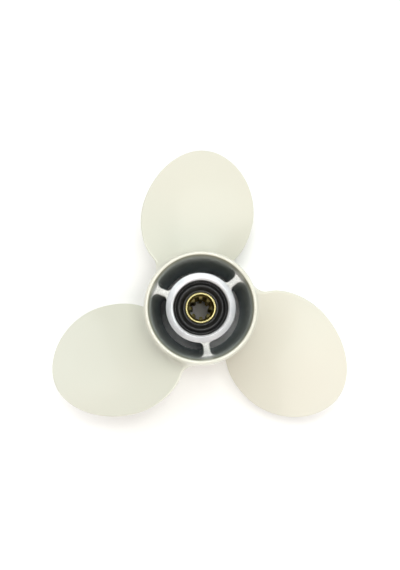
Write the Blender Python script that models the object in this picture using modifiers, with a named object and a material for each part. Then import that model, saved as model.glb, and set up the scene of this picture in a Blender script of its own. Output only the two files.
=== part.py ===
"""Three-bladed outboard-motor propeller with its exhaust through the hub.

The casting lies on its front rim with the shaft axis upright: +Z points aft,
the origin is on the axis at the front rim, and one blade points along +Y.
All sizes are in metres.
"""

import math

import bmesh
import bpy
from mathutils import Matrix

# Propeller
BLADES = 3
DIAMETER = 0.235
PITCH = 0.229
BLADE_ONE_DEG = 90.0

# Casting: barrel, rim, inner tube and webs
HUB_LENGTH = 0.084
BARREL_RADIUS = 0.0380
BARREL_FRONT_RADIUS = 0.0384
BARREL_TAPER = 0.010
RIM_BORE_RADIUS = 0.0344
RIM_ROUNDING = 0.0011
RIM_EDGE_DEG = 17.0
FRONT_BORE_RADIUS = 0.0345
FRONT_ROUNDING = 0.0010
PASSAGE_RADIUS = 0.0334
PASSAGE_FRONT_RADIUS = 0.0302
TUBE_RADIUS = 0.0231
TUBE_BORE_RADIUS = 0.0184
TUBE_FACE_RADIUS = 0.0196
TUBE_CHAMFER_DEPTH = 0.0010
TUBE_FACE_DROP = 0.0006
TUBE_BELOW_RIM = 0.0074
TUBE_FRONT = 0.0060
WEBS_BELOW_RIM = 0.0084
WEBS_FRONT = 0.0120
WEB_THICKNESS = 0.0048
WEB_ONE_DEG = 38.1
WEB_ROUNDING_OUTER = 0.0040
WEB_ROUNDING_INNER = 0.0026
WEB_LEDGE = 0.0002
FRONT_LIP_RADIUS = 0.0150
FRONT_LIP_THICKNESS = 0.0030

# Blade outline, measured from the shaft out and round it
OUTLINE_CENTRE = 0.0775
OUTLINE_HALF_ARC = 0.0427
OUTLINE_INNER_REACH = 0.0480
OUTLINE_POWER = 1.9
SKEW_ROOT_DEG = 5.5
SKEW_TIP_DEG = -2.4
SKEW_POWER = 1.2
ROOT_SPREAD = 0.0035
ROOT_SPREAD_HEIGHT = 0.0090

# Blade sections
ROOT_MIDDLE_Z = 0.0428
RAKE = -0.037
ROOT_THICKNESS = 0.0085
TIP_THICKNESS = 0.0024
THINNING_POWER = 0.8
EDGE_THICKNESS = 0.0018
AFT_FILLET = 0.0036
FORE_FILLET = 0.0085
ROOT_RADIUS = 0.0358

# Rubber bush and splined sleeve
FIT_GAP = 0.0003
SLEEVE_RADIUS = 0.0103
SLEEVE_FRONT = 0.0040
SLEEVE_BELOW_RIM = 0.0113
SLEEVE_CHAMFER = 0.0004
COUNTERBORE_RADIUS = 0.0089
COUNTERBORE_DEPTH = 0.0077
SEAT_CONE_DEG = 35.0
SPLINE_TEETH = 8
SPLINE_ROOT_RADIUS = 0.0078
SPLINE_TIP_RADIUS = 0.0059
SPLINE_TOOTH_ROOT = 0.0026
SPLINE_TOOTH_TIP = 0.0017
BUSH_FRONT = 0.0105
BUSH_BELOW_RIM = 0.0120
BUSH_CREST_RADIUS = 0.0149
BUSH_CREST_ROUNDING = 0.0012
BUSH_CREST_START_DEG = 115.0
BUSH_CREST_END_DEG = 15.0
BUSH_GROOVE_RADIUS = 0.0167
BUSH_GROOVE_DEPTH = 0.0024
BUSH_INNER_DEPTH = 0.0022
BUSH_OUTER_DEPTH = 0.0014

# Fineness of the round shapes
TURNED_STEPS = 64
RIM_STEPS = 3
TAPER_STEPS = 4
OUTER_CORNER_STEPS = 5
INNER_CORNER_STEPS = 4
PASSAGE_OUTER_STEPS = 16
PASSAGE_INNER_STEPS = 14
CREST_STEPS = 5
TOOTH_STEPS = 2
GROOVE_STEPS = 6
SECTION_STATIONS = 12
NOSE_STEPS = 4
RADIAL_STATIONS = 11
FILLET_SHARES = (0.0, 0.04, 0.13, 0.29, 0.58, 1.0)
TIP_TURNS_DEG = (0.0, 35.0, 62.0, 82.0)

OVERRUN = 0.002
MERGE = 0.00001


def clear_scene():
    """Take every object out of the open file."""
    for item in list(bpy.data.objects):
        bpy.data.objects.remove(item, do_unlink=True)


def new_collection(name):
    """A collection linked to the scene."""
    group = bpy.data.collections.new(name)
    bpy.context.scene.collection.children.link(group)
    return group


def finish(name, colour, roughness, metallic):
    """A Principled material."""
    material = bpy.data.materials.new(name)
    material.use_nodes = True
    shader = material.node_tree.nodes["Principled BSDF"]
    shader.inputs["Base Color"].default_value = (*colour, 1.0)
    shader.inputs["Roughness"].default_value = roughness
    shader.inputs["Metallic"].default_value = metallic
    return material


def polar(radius, degrees):
    """A point in the plane across the shaft."""
    angle = math.radians(degrees)
    return radius * math.cos(angle), radius * math.sin(angle)


def arc(centre, radius, start_deg, end_deg, pieces):
    """Points on a circular arc, both ends included."""
    points = []
    for i in range(pieces + 1):
        x, y = polar(radius, start_deg + (end_deg - start_deg) * i / pieces)
        points.append((centre[0] + x, centre[1] + y))
    return points


def turned(name, profile, group):
    """A closed profile of (radius, height) points turned about the shaft axis."""
    mesh = bpy.data.meshes.new(name)
    count = len(profile)
    edges = [(i, (i + 1) % count) for i in range(count)]
    mesh.from_pydata([(radius, 0.0, height) for radius, height in profile], edges, [])
    item = bpy.data.objects.new(name, mesh)
    group.objects.link(item)
    screw = item.modifiers.new("turn", "SCREW")
    screw.axis = "Z"
    screw.steps = TURNED_STEPS
    screw.render_steps = TURNED_STEPS
    screw.use_merge_vertices = True
    screw.merge_threshold = MERGE
    screw.use_smooth_shade = True
    return item


def extruded(name, outline, low, high, group):
    """A flat outline across the shaft, extruded from one height to another."""
    curve = bpy.data.curves.new(name, "CURVE")
    curve.dimensions = "2D"
    curve.fill_mode = "BOTH"
    curve.extrude = (high - low) / 2
    spline = curve.splines.new("POLY")
    spline.points.add(len(outline) - 1)
    for point, (x, y) in zip(spline.points, outline):
        point.co = (x, y, 0.0, 1.0)
    spline.use_cyclic_u = True
    flat = bpy.data.objects.new(name + "_outline", curve)
    flat.location.z = (low + high) / 2
    group.objects.link(flat)
    return as_mesh(flat, name, group)


def as_mesh(source, name, group):
    """The evaluated form of a curve as a welded mesh object in its place."""
    bpy.context.view_layer.update()
    graph = bpy.context.evaluated_depsgraph_get()
    mesh = bpy.data.meshes.new_from_object(source.evaluated_get(graph))
    mesh.name = name
    work = bmesh.new()
    work.from_mesh(mesh)
    bmesh.ops.remove_doubles(work, verts=work.verts, dist=MERGE)
    bmesh.ops.recalc_face_normals(work, faces=work.faces)
    work.to_mesh(mesh)
    work.free()
    item = bpy.data.objects.new(name, mesh)
    item.matrix_world = source.matrix_world.copy()
    group.objects.link(item)
    bpy.data.objects.remove(source, do_unlink=True)
    return item


def as_cutter(item):
    """Hide a shape that only cuts or joins another."""
    item.hide_render = True
    item.display_type = "WIRE"
    return item


def combine(item, other, operation):
    """Cut or join a piece with another shape."""
    step = item.modifiers.new(other.name, "BOOLEAN")
    step.operation = operation
    step.solver = "EXACT"
    step.object = as_cutter(other)
    return step


def copy_turned(item, degrees, name, group):
    """A copy turned about the shaft axis that shares the mesh."""
    twin = bpy.data.objects.new(name, item.data)
    twin.matrix_world = Matrix.Rotation(math.radians(degrees), 4, "Z") @ item.matrix_world
    group.objects.link(twin)
    return twin


def rim_and_taper():
    """The aft rim's round outer half and the taper that runs from it to the barrel."""
    centre = (RIM_BORE_RADIUS + RIM_ROUNDING, HUB_LENGTH - RIM_ROUNDING)
    points = arc(centre, RIM_ROUNDING, 90, RIM_EDGE_DEG, RIM_STEPS)
    edge_radius, edge_z = points[-1]
    foot_z = HUB_LENGTH - BARREL_TAPER
    for i in range(1, TAPER_STEPS + 1):
        share = i / TAPER_STEPS
        radius = BARREL_RADIUS - (BARREL_RADIUS - edge_radius) * (1 - share) ** 2
        points.append((radius, edge_z + (foot_z - edge_z) * share))
    return points


def hub_profile():
    """Barrel, web disc and inner tube as one turned section, outer side first."""
    tube_aft = HUB_LENGTH - TUBE_BELOW_RIM
    web_aft = HUB_LENGTH - WEBS_BELOW_RIM
    corner = (BARREL_FRONT_RADIUS - FRONT_ROUNDING, FRONT_ROUNDING)
    front = arc(corner, FRONT_ROUNDING, 0, -90, RIM_STEPS)
    front_bore = [(FRONT_BORE_RADIUS, 0.0), (PASSAGE_FRONT_RADIUS + 2 * WEB_LEDGE, WEBS_FRONT)]
    tube_front = [
        (TUBE_RADIUS, WEBS_FRONT),
        (TUBE_RADIUS, TUBE_FRONT),
        (FRONT_LIP_RADIUS, TUBE_FRONT),
        (FRONT_LIP_RADIUS, TUBE_FRONT + FRONT_LIP_THICKNESS),
        (TUBE_BORE_RADIUS, TUBE_FRONT + FRONT_LIP_THICKNESS),
    ]
    tube_end = [
        (TUBE_BORE_RADIUS, tube_aft - TUBE_CHAMFER_DEPTH),
        (TUBE_FACE_RADIUS, tube_aft),
        (TUBE_RADIUS, tube_aft - TUBE_FACE_DROP),
        (TUBE_RADIUS, web_aft),
    ]
    lip = (RIM_BORE_RADIUS + RIM_ROUNDING, HUB_LENGTH - RIM_ROUNDING)
    rim_bore = [(PASSAGE_RADIUS + WEB_LEDGE, web_aft)]
    rim_bore += arc(lip, RIM_ROUNDING, 180, 90, RIM_STEPS)[:-1]
    return rim_and_taper() + front + front_bore + tube_front + tube_end + rim_bore


def web_corner(ring, rounding, outside):
    """Arc from a web's flank to the ring that the web meets, in the web's own frame.

    The first coordinate runs out along the web and the second off its middle line.
    """
    off_web = WEB_THICKNESS / 2 + rounding
    from_shaft = ring - rounding if outside else ring + rounding
    centre = (math.sqrt(from_shaft**2 - off_web**2), off_web)
    facing = math.degrees(math.atan2(centre[1], centre[0]))
    if outside:
        return arc(centre, rounding, -90, facing, OUTER_CORNER_STEPS)
    return arc(centre, rounding, 270, facing + 180, INNER_CORNER_STEPS)


def turned_points(points, degrees):
    """Flat points turned about the shaft."""
    cos, sin = polar(1.0, degrees)
    return [(x * cos - y * sin, x * sin + y * cos) for x, y in points]


def passage_outline(middle_deg):
    """One exhaust passage: an annular sector between two webs, corners rounded.

    A small ledge is left round the tube and inside the barrel where the webs are.
    """
    inner = TUBE_RADIUS + WEB_LEDGE
    corners = web_corner(inner, WEB_ROUNDING_INNER, False)[::-1]
    corners += web_corner(PASSAGE_RADIUS, WEB_ROUNDING_OUTER, True)
    one_side = turned_points(corners, -180.0 / BLADES)
    other_side = [(x, -y) for x, y in reversed(one_side)]
    outer_deg = math.degrees(math.atan2(other_side[0][1], other_side[0][0]))
    inner_deg = math.degrees(math.atan2(other_side[-1][1], other_side[-1][0]))
    wall = arc((0, 0), PASSAGE_RADIUS, -outer_deg, outer_deg, PASSAGE_OUTER_STEPS)
    tube = arc((0, 0), inner, inner_deg, -inner_deg, PASSAGE_INNER_STEPS)
    outline = one_side + wall[1:-1] + other_side + tube[1:-1]
    return turned_points(outline, middle_deg)


def drafted(passage):
    """The passage narrowed towards the front, as a core that is drawn out aft needs."""
    inner = TUBE_RADIUS + WEB_LEDGE
    squeeze = (PASSAGE_FRONT_RADIUS - inner) / (PASSAGE_RADIUS - inner)
    work = bmesh.new()
    work.from_mesh(passage.data)
    for point in work.verts:
        if point.co.z < 0:
            radius = math.hypot(point.co.x, point.co.y)
            share = (inner + (radius - inner) * squeeze) / radius
            point.co = (point.co.x * share, point.co.y * share, point.co.z)
    bmesh.ops.triangulate(work, faces=work.faces[:])
    bmesh.ops.recalc_face_normals(work, faces=work.faces[:])
    work.to_mesh(passage.data)
    work.free()
    return passage


def outline_half_arc(radius):
    """Half the blade's width round the shaft: near an ellipse, drawn out towards the hub."""
    reach = OUTLINE_INNER_REACH
    if radius > OUTLINE_CENTRE:
        reach = DIAMETER / 2 - OUTLINE_CENTRE
    share = min(1.0, abs(radius - OUTLINE_CENTRE) / reach)
    return OUTLINE_HALF_ARC * (1 - share**OUTLINE_POWER) ** (1 / OUTLINE_POWER)


def trailing_spread(radius):
    """How much further the trailing edge runs round the shaft close to the barrel."""
    share = min(1.0, max(0.0, radius - BARREL_RADIUS) / ROOT_SPREAD_HEIGHT)
    return ROOT_SPREAD * (1 - share) ** 2


def fillet_flare(radius, fillet):
    """How far a face of the blade stands out where it runs into the barrel."""
    short = max(0.0, fillet - max(0.0, radius - BARREL_RADIUS))
    return fillet - math.sqrt(fillet**2 - short**2)


def edge_thickness(radius):
    """Thickness of the rounded edge, which rounds off to nothing at the very tip."""
    half = EDGE_THICKNESS / 2
    share = max(0.0, (radius - (DIAMETER / 2 - half)) / half)
    return EDGE_THICKNESS * math.sqrt(max(0.0, 1 - share * share))


def section_outline(radius, slope):
    """The section laid flat, as (along, beyond the edge, lift) points.

    along is the distance round the shaft from the section's middle, and the other
    two lie along the blade's slope and square to it. The aft face is flat, and the
    forward face has the belly.
    """
    outer = max(0.0, (radius - BARREL_RADIUS) / (DIAMETER / 2 - BARREL_RADIUS))
    edge = edge_thickness(radius)
    thickest = ROOT_THICKNESS + (TIP_THICKNESS - ROOT_THICKNESS) * outer**THINNING_POWER
    belly = max(0.0, thickest - EDGE_THICKNESS) * edge / EDGE_THICKNESS
    aft_skin = edge / 2 + fillet_flare(radius, AFT_FILLET)
    fore_skin = edge / 2 + fillet_flare(radius, FORE_FILLET)
    reach = max(0.0, outline_half_arc(radius) - edge / 2 * math.cos(slope))
    spread = trailing_spread(radius)
    shares = [-math.cos(math.pi * i / SECTION_STATIONS) for i in range(SECTION_STATIONS + 1)]
    places = [reach * share + spread * (1 + share) / 2 for share in shares]
    aft = [(place, 0.0, aft_skin) for place in places]
    trailing = nose(aft_skin, fore_skin, places[-1], 1)
    bellies = [belly * (1 - share * share) for share in shares]
    fore = [(place, 0.0, -fore_skin - deep) for place, deep in zip(places, bellies)]
    leading = nose(fore_skin, aft_skin, places[0], -1)
    return aft + trailing + fore[::-1] + leading


def nose(first_skin, last_skin, place, side):
    """Points round an edge of the section, from one face's skin to the other's."""
    points = []
    for i in range(1, NOSE_STEPS):
        turn = math.pi * i / NOSE_STEPS
        skin = first_skin + (last_skin - first_skin) * (1 - math.cos(turn)) / 2
        points.append((place, side * skin * math.sin(turn), side * skin * math.cos(turn)))
    return points


def section_loop(radius):
    """One closed section of the blade, wrapped round the shaft at a radius."""
    slope = math.atan2(PITCH, 2 * math.pi * radius)
    outer = max(0.0, (radius - BARREL_RADIUS) / (DIAMETER / 2 - BARREL_RADIUS))
    swing = math.sin(math.pi / 2 * min(1.0, outer**SKEW_POWER))
    skew = math.radians(SKEW_ROOT_DEG + (SKEW_TIP_DEG - SKEW_ROOT_DEG) * swing)
    middle_z = ROOT_MIDDLE_Z + RAKE * (radius - BARREL_RADIUS)
    loop = []
    for along, beyond, lift in section_outline(radius, slope):
        round_shaft = along + beyond * math.cos(slope) - lift * math.sin(slope)
        x, y = polar(radius, BLADE_ONE_DEG + math.degrees(round_shaft / radius + skew))
        screw = PITCH * (along / radius + skew) / (2 * math.pi)
        z = middle_z + screw + beyond * math.sin(slope) + lift * math.cos(slope)
        loop.append((x, y, z))
    return loop


def blade_radii():
    """Section radii, close together in the root fillet and at the tip."""
    radii = [ROOT_RADIUS] + [BARREL_RADIUS + FORE_FILLET * share for share in FILLET_SHARES]
    start = radii[-1]
    half = EDGE_THICKNESS / 2
    end = DIAMETER / 2 - half
    for i in range(1, RADIAL_STATIONS):
        radii.append(start + (end - start) * math.sin(math.pi / 2 * i / RADIAL_STATIONS))
    return radii + [end + half * math.sin(math.radians(turn)) for turn in TIP_TURNS_DEG]


def blade(group):
    """One blade as a loft of sections that wrap round the shaft."""
    loops = [section_loop(radius) for radius in blade_radii()]
    size = len(loops[0])
    work = bmesh.new()
    rows = [[work.verts.new(point) for point in loop] for loop in loops]
    for low, high in zip(rows, rows[1:]):
        for i in range(size):
            j = (i + 1) % size
            work.faces.new((low[i], low[j], high[j], high[i]))
    cap_section(work, rows[0])
    cap_section(work, rows[-1])
    bmesh.ops.recalc_face_normals(work, faces=work.faces)
    mesh = bpy.data.meshes.new("blade")
    work.to_mesh(mesh)
    work.free()
    item = bpy.data.objects.new("blade_1", mesh)
    group.objects.link(item)
    return item


def cap_section(work, row):
    """Close a section with a strip between its two faces and a fan at each nose."""
    aft = row[: SECTION_STATIONS + 1]
    fore_start = SECTION_STATIONS + NOSE_STEPS
    fore = row[fore_start : fore_start + SECTION_STATIONS + 1][::-1]
    for i in range(SECTION_STATIONS):
        work.faces.new((aft[i], aft[i + 1], fore[i + 1], fore[i]))
    work.faces.new(row[SECTION_STATIONS : fore_start + 1])
    work.faces.new(row[fore_start + SECTION_STATIONS :] + row[:1])


def propeller_casting(parts, cutters):
    """Barrel, three webs, inner tube and three blades, cast in one piece."""
    casting = turned("propeller_casting", hub_profile(), parts)
    half_pitch = 180.0 / BLADES
    for i in range(BLADES):
        middle = WEB_ONE_DEG + half_pitch + i * 360 / BLADES
        outline = passage_outline(middle)
        low = WEBS_FRONT - OVERRUN
        high = HUB_LENGTH - WEBS_BELOW_RIM + OVERRUN
        passage = drafted(extruded(f"passage_{i + 1}", outline, low, high, cutters))
        combine(casting, passage, "DIFFERENCE").use_self = True
    first = blade(cutters)
    combine(casting, first, "UNION")
    for i in range(1, BLADES):
        twin = copy_turned(first, i * 360 / BLADES, f"blade_{i + 1}", cutters)
        combine(casting, twin, "UNION")
    casting.data.materials.append(finish("cream_paint", (0.80, 0.79, 0.70), 0.35, 0.0))
    return casting


def bush_profile():
    """Rubber ring between the tube and the sleeve, with a raised bead round its aft end."""
    outer = TUBE_BORE_RADIUS - FIT_GAP
    inner = SLEEVE_RADIUS + FIT_GAP
    aft = HUB_LENGTH - BUSH_BELOW_RIM
    bead = (BUSH_CREST_RADIUS, aft - BUSH_CREST_ROUNDING)
    ends = (BUSH_CREST_START_DEG, BUSH_CREST_END_DEG)
    crest = arc(bead, BUSH_CREST_ROUNDING, *ends, CREST_STEPS)
    groove = [(BUSH_GROOVE_RADIUS, aft - BUSH_GROOVE_DEPTH), (outer, aft - BUSH_OUTER_DEPTH)]
    front = [(outer, BUSH_FRONT), (inner, BUSH_FRONT), (inner, aft - BUSH_INNER_DEPTH)]
    return crest + groove + front


def rubber_bush(parts):
    """The bush that drives the casting and slips on a hard knock."""
    bush = turned("rubber_bush", bush_profile(), parts)
    bush.data.materials.append(finish("black_rubber", (0.02, 0.02, 0.022), 0.55, 0.0))
    return bush


def sleeve_profile():
    """Brass sleeve before its splines are cut, with a pilot hole down the axis.

    The counterbore's seat is a cone, which gives the teeth their slanted ends.
    """
    aft = HUB_LENGTH - SLEEVE_BELOW_RIM
    pilot = SPLINE_TIP_RADIUS / 3
    seat = aft - COUNTERBORE_DEPTH
    cone_foot = seat - (COUNTERBORE_RADIUS - pilot) * math.tan(math.radians(SEAT_CONE_DEG))
    return [
        (SLEEVE_RADIUS - SLEEVE_CHAMFER, aft),
        (SLEEVE_RADIUS, aft - SLEEVE_CHAMFER),
        (SLEEVE_RADIUS, SLEEVE_FRONT + SLEEVE_CHAMFER),
        (SLEEVE_RADIUS - SLEEVE_CHAMFER, SLEEVE_FRONT),
        (pilot, SLEEVE_FRONT),
        (pilot, cone_foot),
        (COUNTERBORE_RADIUS, seat),
        (COUNTERBORE_RADIUS, aft - SLEEVE_CHAMFER),
        (COUNTERBORE_RADIUS + SLEEVE_CHAMFER / 2, aft),
    ]


def spline_outline():
    """The hole through the sleeve: round, with tapered teeth standing inward."""
    points = []
    pitch = 360.0 / SPLINE_TEETH
    root_half = math.degrees(math.asin(SPLINE_TOOTH_ROOT / 2 / SPLINE_ROOT_RADIUS))
    tip_half = math.degrees(math.asin(SPLINE_TOOTH_TIP / 2 / SPLINE_TIP_RADIUS))
    for i in range(SPLINE_TEETH):
        tooth = i * pitch
        points += arc((0, 0), SPLINE_TIP_RADIUS, tooth - tip_half, tooth + tip_half, TOOTH_STEPS)
        start = tooth + root_half
        points += arc((0, 0), SPLINE_ROOT_RADIUS, start, tooth + pitch - root_half, GROOVE_STEPS)
    return points


def splined_sleeve(parts, cutters):
    """The brass sleeve that slides on to the splined shaft."""
    sleeve = turned("splined_sleeve", sleeve_profile(), parts)
    low = SLEEVE_FRONT - OVERRUN
    outline = spline_outline()
    hole = extruded("spline_hole", outline, low, HUB_LENGTH + OVERRUN, cutters)
    combine(sleeve, hole, "DIFFERENCE")
    sleeve.data.materials.append(finish("brass", (0.75, 0.58, 0.25), 0.30, 1.0))
    return sleeve


def main():
    clear_scene()
    parts = new_collection("outboard_propeller")
    cutters = new_collection("cutters")
    propeller_casting(parts, cutters)
    rubber_bush(parts)
    splined_sleeve(parts, cutters)
    bpy.context.view_layer.update()


main()
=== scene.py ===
"""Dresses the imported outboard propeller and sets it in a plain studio.

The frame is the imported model's own: metres, +Z up the shaft axis and aft, the
origin on the axis at the front rim, and one blade along +Y. The casting, the
rubber bush and the splined sleeve each get one closed mesh that is finer than
the solid it stands for, and procedural finishes.
"""

import logging
import math
from collections.abc import Mapping, Sequence
from dataclasses import dataclass, field
from enum import Enum, IntEnum

import bmesh
import bpy
import numpy as np
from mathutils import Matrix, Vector
from mathutils.geometry import delaunay_2d_cdt


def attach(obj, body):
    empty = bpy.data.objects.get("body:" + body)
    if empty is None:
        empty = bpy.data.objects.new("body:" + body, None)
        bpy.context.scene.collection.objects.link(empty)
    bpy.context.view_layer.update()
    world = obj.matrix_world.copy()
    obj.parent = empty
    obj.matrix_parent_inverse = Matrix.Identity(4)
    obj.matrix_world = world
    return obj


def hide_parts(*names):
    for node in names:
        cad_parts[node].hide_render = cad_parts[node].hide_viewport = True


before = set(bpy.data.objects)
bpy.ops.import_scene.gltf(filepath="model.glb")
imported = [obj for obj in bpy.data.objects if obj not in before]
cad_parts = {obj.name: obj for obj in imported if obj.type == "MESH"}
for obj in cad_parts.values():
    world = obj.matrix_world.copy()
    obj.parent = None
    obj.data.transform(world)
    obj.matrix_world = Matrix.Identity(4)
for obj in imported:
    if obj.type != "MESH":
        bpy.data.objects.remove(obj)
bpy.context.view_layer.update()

LOG = logging.getLogger("propeller")

MM = 0.001
WELD = 2e-6  # points of a mesh that lie closer than this become one
MERGE = 1e-7  # the same in a flat fill, which is in millimetres
TINY = 1e-12  # stands in for a length of nothing

Flat = tuple[float, float]
Point = tuple[float, float, float]
Colour = tuple[float, float, float]
Socket = bpy.types.NodeSocket
Outputs = Mapping[str, Socket]


def polar(radius: float, degrees: float) -> Flat:
    """A point in the plane across the shaft."""
    angle = math.radians(degrees)
    return radius * math.cos(angle), radius * math.sin(angle)


def turned(x: float, y: float, cos: float, sin: float) -> Flat:
    """A point turned about the shaft axis, by an angle's cosine and sine."""
    return x * cos - y * sin, x * sin + y * cos


def full_turn(steps: int) -> list[float]:
    """Angles of evenly spaced columns all the way round the shaft, in degrees."""
    return [360.0 * i / steps for i in range(steps)]


def arc(centre: Flat, radius: float, start: float, end: float, pieces: int) -> list[Flat]:
    """Equally spaced points on an arc between two angles in degrees, ends included."""
    points = [polar(radius, start + (end - start) * i / pieces) for i in range(pieces + 1)]
    return [(centre[0] + x, centre[1] + y) for x, y in points]


def straight(start: Sequence[float], end: Sequence[float], pieces: int) -> list[tuple[float, ...]]:
    """Equally spaced points on a straight run, ends included."""
    spans = list(zip(start, end))
    return [tuple(a + (b - a) * i / pieces for a, b in spans) for i in range(pieces + 1)]


def round_corner(
    corner: Flat, before: Flat, after: Flat, radius: float, pieces: int
) -> list[Flat]:
    """Arc points that round off a corner.

    Args:
        corner: The corner itself.
        before: A point on the side that runs into the corner.
        after: A point on the side that leaves it.
        radius: The rounding.
        pieces: Number of steps along the arc.

    Returns:
        The arc's points, from the first side to the second.
    """
    middle = Vector(corner)
    ways = [(Vector(side) - middle).normalized() for side in (before, after)]
    half = ways[0].angle(ways[1]) / 2
    centre = middle + (ways[0] + ways[1]).normalized() * (radius / math.sin(half))
    ends = [middle + way * (radius / math.tan(half)) for way in ways]
    first, last = (math.atan2(end.y - centre.y, end.x - centre.x) for end in ends)
    turn = (last - first + math.pi) % (2 * math.pi) - math.pi
    return arc(tuple(centre), radius, math.degrees(first), math.degrees(first + turn), pieces)


def soften(profile: Sequence[Flat], radii: Sequence[float], pieces: int = 4) -> list[Flat]:
    """Round the inner corners of an open profile.

    Args:
        profile: The profile's corner points.
        radii: One rounding for each corner between the first and last point.
        pieces: Steps on each rounding.

    Returns:
        The rounded profile.
    """
    points = [profile[0]]
    for i, radius in enumerate(radii, start=1):
        points += round_corner(profile[i], profile[i - 1], profile[i + 1], radius, pieces)
    return points + [profile[-1]]


def inside(points: np.ndarray, loop: np.ndarray) -> np.ndarray:
    """Which points lie inside a closed loop.

    Args:
        points: Flat points, one in each row.
        loop: The loop's corners in order, one in each row.

    Returns:
        A true value for each point that the loop goes round.
    """
    held = np.zeros(len(points), bool)
    for (x1, y1), (x2, y2) in zip(loop, np.roll(loop, -1, axis=0)):
        if y1 == y2:
            continue
        beside = (points[:, 1] < y1) != (points[:, 1] < y2)
        cross = x1 + (points[:, 1] - y1) * (x2 - x1) / (y2 - y1)
        held ^= beside & (points[:, 0] < cross)
    return held


def in_region(points: np.ndarray, rim: np.ndarray, holes: Sequence[np.ndarray]) -> np.ndarray:
    """Which points lie inside a closed rim and outside all its holes."""
    held = inside(points, rim)
    return held & ~np.any([inside(points, hole) for hole in holes], axis=0)


def clear_of(points: np.ndarray, loop: np.ndarray, gap: float) -> np.ndarray:
    """Which points keep a distance from a closed loop.

    Args:
        points: Flat points, one in each row.
        loop: The loop's corners in order, one in each row.
        gap: The least distance.

    Returns:
        A true value for each point that is at least that far away.
    """
    clear = np.ones(len(points), bool)
    for start, end in zip(loop, np.roll(loop, -1, axis=0)):
        run = end - start
        share = ((points - start) @ run / max(run @ run, TINY)).clip(0, 1)
        clear &= np.hypot(*(points - start - share[:, None] * run).T) > gap
    return clear


def fill_flat(
    rim: np.ndarray, holes: Sequence[np.ndarray], loose: np.ndarray, gap: float
) -> tuple[np.ndarray, list[tuple[int, ...]]]:
    """Triangles that fill a flat region round its holes.

    Args:
        rim: The region's outer boundary, as a closed loop.
        holes: Closed loops that are left open.
        loose: Points wanted inside the region, for an even mesh.
        gap: How far the loose points keep from every loop.

    Returns:
        The points and the triangles between them.
    """
    keep = in_region(loose, rim, holes)
    edges, start = [], 0
    for loop in (rim, *holes):
        keep &= clear_of(loose, loop, gap)
        edges += [(start + i, start + (i + 1) % len(loop)) for i in range(len(loop))]
        start += len(loop)
    given = np.vstack([rim, *holes, loose[keep]])
    made = delaunay_2d_cdt([Vector(p) for p in given.tolist()], edges, [], 0, MERGE)
    points = np.array([tuple(p) for p in made[0]])
    faces = np.array([tuple(f) for f in made[2]])
    shown = in_region(points[faces].mean(axis=1), rim, holes)
    return points, [tuple(face) for face in faces[shown].tolist()]


class ClosedMesh:
    """Points and faces of one closed piece, each face with its finish."""

    def __init__(self) -> None:
        """Start with nothing."""
        self.points: list[Point] = []
        self.faces: list[tuple[int, ...]] = []
        self.finishes: list[int] = []

    def row(self, points: Sequence[Point]) -> list[int]:
        """Add points and give their numbers."""
        self.points.extend(points)
        return list(range(len(self.points) - len(points), len(self.points)))

    def face(self, corners: Sequence[int], finish: int) -> None:
        """Add one face, by the numbers of its points in order, with its finish."""
        self.faces.append(tuple(corners))
        self.finishes.append(finish)

    def loft(self, rows: Sequence[Sequence[Point]], finish: int) -> None:
        """Join closed rows of points one after another.

        Args:
            rows: Rows of points, all of one length.
            finish: Which of the piece's finishes the faces have.
        """
        numbers = [self.row(row) for row in rows]
        for low, high in zip(numbers, numbers[1:]):
            for i in range(len(low)):
                j = (i + 1) % len(low)
                self.face((low[i], low[j], high[j], high[i]), finish)

    def turn(
        self, profiles: Sequence[Sequence[Flat]], angles: Sequence[float], finish: int
    ) -> None:
        """Stand a profile of its own at each angle round the shaft, and join them.

        Args:
            profiles: Radius and height of each point, in a profile for each angle.
            angles: Where the profiles stand, in degrees.
            finish: Which of the piece's finishes the faces have.
        """
        columns = [[(*polar(r, a), z) for r, z in run] for run, a in zip(profiles, angles)]
        self.loft(list(zip(*columns)), finish)

    def lathe(self, profile: Sequence[Flat], angles: Sequence[float], finish: int) -> None:
        """Turn one profile of radius and height all the way round the shaft."""
        self.turn([profile] * len(angles), angles, finish)

    def patch(
        self, points: Sequence[Point], faces: Sequence[Sequence[int]], finish: int
    ) -> None:
        """Add a patch of faces with its own points.

        Args:
            points: The patch's points.
            faces: Corners of each face, as places in those points.
            finish: Which of the piece's finishes the faces have.
        """
        numbers = self.row(points)
        for corners in faces:
            self.face([numbers[c] for c in corners], finish)

    def piece(
        self, name: str, dressing: Sequence[bpy.types.Material], sharp: float
    ) -> bpy.types.Object:
        """Weld the mesh, shade it and put it in the scene.

        Args:
            name: The piece's name.
            dressing: Its materials, in the order of the finishes.
            sharp: Edges bent more than this many degrees stay crisp.

        Returns:
            The new object.
        """
        mesh = bpy.data.meshes.new(name)
        mesh.from_pydata(self.points, [], self.faces)
        for material in dressing:
            mesh.materials.append(material)
        mesh.polygons.foreach_set("material_index", self.finishes)
        work = bmesh.new()
        work.from_mesh(mesh)
        bmesh.ops.remove_doubles(work, verts=work.verts, dist=WELD)
        bmesh.ops.dissolve_degenerate(work, edges=work.edges, dist=WELD / 2)
        bmesh.ops.recalc_face_normals(work, faces=work.faces)
        open_edges = sum(1 for edge in work.edges if len(edge.link_faces) != 2)
        work.to_mesh(mesh)
        work.free()
        mesh.shade_smooth()
        mesh.set_sharp_from_angle(angle=math.radians(sharp))
        item = bpy.data.objects.new(name, mesh)
        bpy.context.scene.collection.objects.link(item)
        LOG.info("%s: %d faces, %d open edges", name, len(mesh.polygons), open_edges)
        return item


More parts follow.
